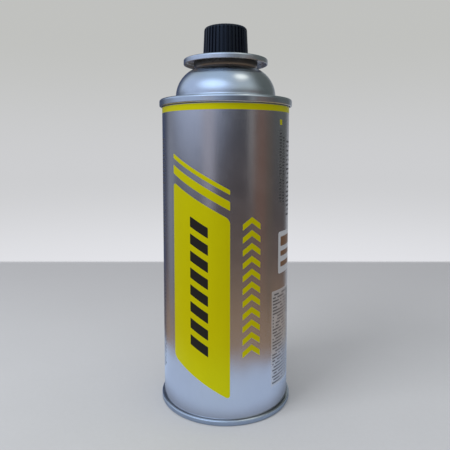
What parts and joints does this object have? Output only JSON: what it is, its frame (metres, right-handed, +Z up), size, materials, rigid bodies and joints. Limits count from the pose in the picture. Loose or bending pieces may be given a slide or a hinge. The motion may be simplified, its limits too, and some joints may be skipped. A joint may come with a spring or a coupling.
{
  "type": "fuel canister",
  "caption": "Sealed sheet-steel gas cartridge with folded seams, a domed top, a notched locating collar, a sprung valve stem and a ribbed pull-off cap.",
  "frame": {"origin": "centre of the foot, on the plane that the can stands on", "axes": "+Z up along the can's axis, front towards -Y, the collar's notch at the back towards +Y"},
  "size_m": [0.0688, 0.0688, 0.1945],
  "materials": {
    "printed_tinplate": "satin",
    "cup_steel": "satin",
    "collar_steel": "satin",
    "black_rubber": "matte",
    "white_plastic": "satin",
    "black_plastic": "satin"
  },
  "bodies": {
    "canister": {"can": "printed_tinplate", "valve_cup": "cup_steel", "collar": "collar_steel", "stem_gasket": "black_rubber"},
    "valve_stem": {"valve_stem": "white_plastic"},
    "cap": {"cap": "black_plastic"}
  },
  "joints": [
    {"name": "cap_pull", "type": "slide", "parent": "canister", "child": "cap", "axis": [0, 0, 1], "range_m": [0, 0.025]},
    {"name": "valve_press", "type": "slide", "parent": "canister", "child": "valve_stem", "axis": [0, 0, -1], "range_m": [0, 0.002], "stiffness_N_per_m": 1000, "springref_m": -0.003}
  ]
}
